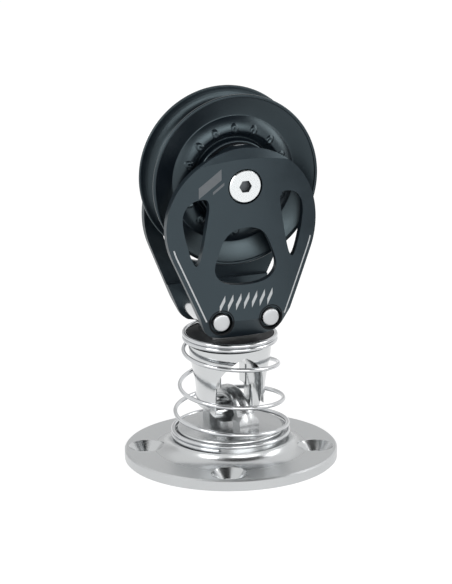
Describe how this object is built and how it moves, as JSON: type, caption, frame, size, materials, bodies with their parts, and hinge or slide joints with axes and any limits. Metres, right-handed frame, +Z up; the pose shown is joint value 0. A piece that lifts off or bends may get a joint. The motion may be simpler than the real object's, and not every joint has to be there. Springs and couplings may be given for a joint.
{
  "type": "stand-up block",
  "caption": "Deck-mounted pulley block held upright by a conical coil spring on a round four-hole base plate, free to lean with the line's pull.",
  "frame": {"origin": "centre of the deck plate's underside", "axes": "+Z up through the axle; the sheave turns about an axis parallel to Y; -Y is the front cheek"},
  "size_m": [0.074, 0.074, 0.1318],
  "materials": {
    "polished_steel": "polished stainless steel",
    "spring_steel": "bright drawn stainless wire",
    "black_anodised_alloy": "forged and black anodised, satin",
    "black_resin": "moulded black resin, semi-matt",
    "white_resin": "acetal, natural white"
  },
  "bodies": {
    "base": {"base_plate": "polished_steel"},
    "spring": {"standup_spring": "spring_steel"},
    "head": {"toggle_bail": "polished_steel", "spring_ferrule": "polished_steel", "spring_cap": "black_resin", "cheek_front": "black_anodised_alloy", "cheek_rear": "black_anodised_alloy", "rivet_left": "polished_steel", "rivet_right": "polished_steel", "axle_bolt": "polished_steel", "axle_nut": "polished_steel", "inner_race": "polished_steel", "thrust_washer_front": "polished_steel", "thrust_washer_rear": "polished_steel"},
    "sheave": {"sheave": "black_resin", "sheave_bush": "white_resin", "thrust_balls_front": "white_resin", "thrust_balls_rear": "white_resin", "ball_cage_front": "black_resin", "ball_cage_rear": "black_resin"}
  },
  "joints": [
    {"name": "tilt_side", "type": "hinge", "parent": "base", "child": "spring", "pos_m": [0, 0, 0.02375], "axis": [0.1736, -0.9848, 0], "range_deg": [-30, 30], "stiffness_Nm_per_rad": 1.5, "deforming": ["standup_spring"]},
    {"name": "tilt_fore", "type": "hinge", "parent": "spring", "child": "head", "pos_m": [0, 0, 0.0169], "axis": [1, 0, 0], "range_deg": [-30, 30], "stiffness_Nm_per_rad": 1.5},
    {"name": "sheave_spin", "type": "hinge", "parent": "head", "child": "sheave", "pos_m": [0, 0, 0.10175], "axis": [0, 1, 0], "continuous": true}
  ]
}
